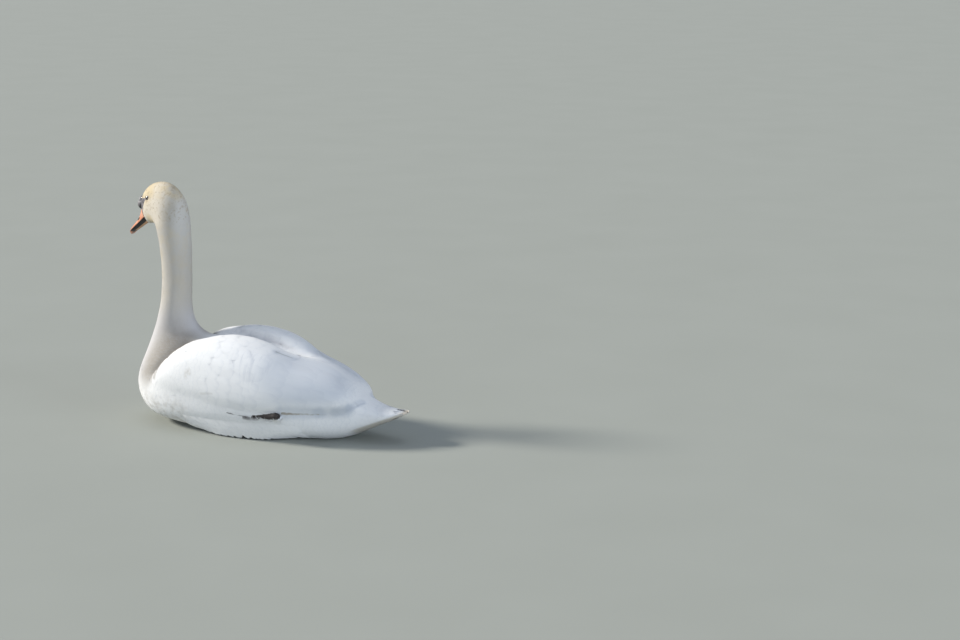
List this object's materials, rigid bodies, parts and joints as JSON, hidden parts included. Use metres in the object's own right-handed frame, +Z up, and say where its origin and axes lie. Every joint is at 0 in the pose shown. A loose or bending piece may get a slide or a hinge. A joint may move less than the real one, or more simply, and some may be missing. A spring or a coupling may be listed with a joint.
{
  "type": "mute swan museum model",
  "caption": "Life-size still model of a mute swan resting on its belly, wings folded, neck upright and head turned a little to its right.",
  "frame": {"origin": "on the surface the swan rests on, under the middle of its overall length and on its plane of symmetry", "axes": "+X points to the tail, so the swan faces -X; its left side is -Y and its right side +Y; +Z is up"},
  "size_m": [0.808, 0.3212, 0.6153],
  "materials": {
    "plumage": "soft white feather, faintly cream on the head and neck",
    "bill_orange": "smooth horn with a low sheen",
    "bill_black": "smooth horn with a low sheen",
    "leg_skin": "matt scaled skin",
    "eye": "wet gloss"
  },
  "bodies": {
    "root": {"tail": "plumage", "trunk": "plumage", "neck_lower": "plumage", "neck_middle": "plumage", "neck_upper": "plumage", "head": "plumage", "scapulars_left": "plumage", "scapulars_right": "plumage", "wing_left": "plumage", "wing_right": "plumage", "bill_upper": "bill_orange", "bill_lower": "bill_black", "leg_left": "leg_skin", "foot_left": "leg_skin", "eye_left": "eye", "leg_right": "leg_skin", "foot_right": "leg_skin", "eye_right": "eye"}
  },
  "joints": []
}
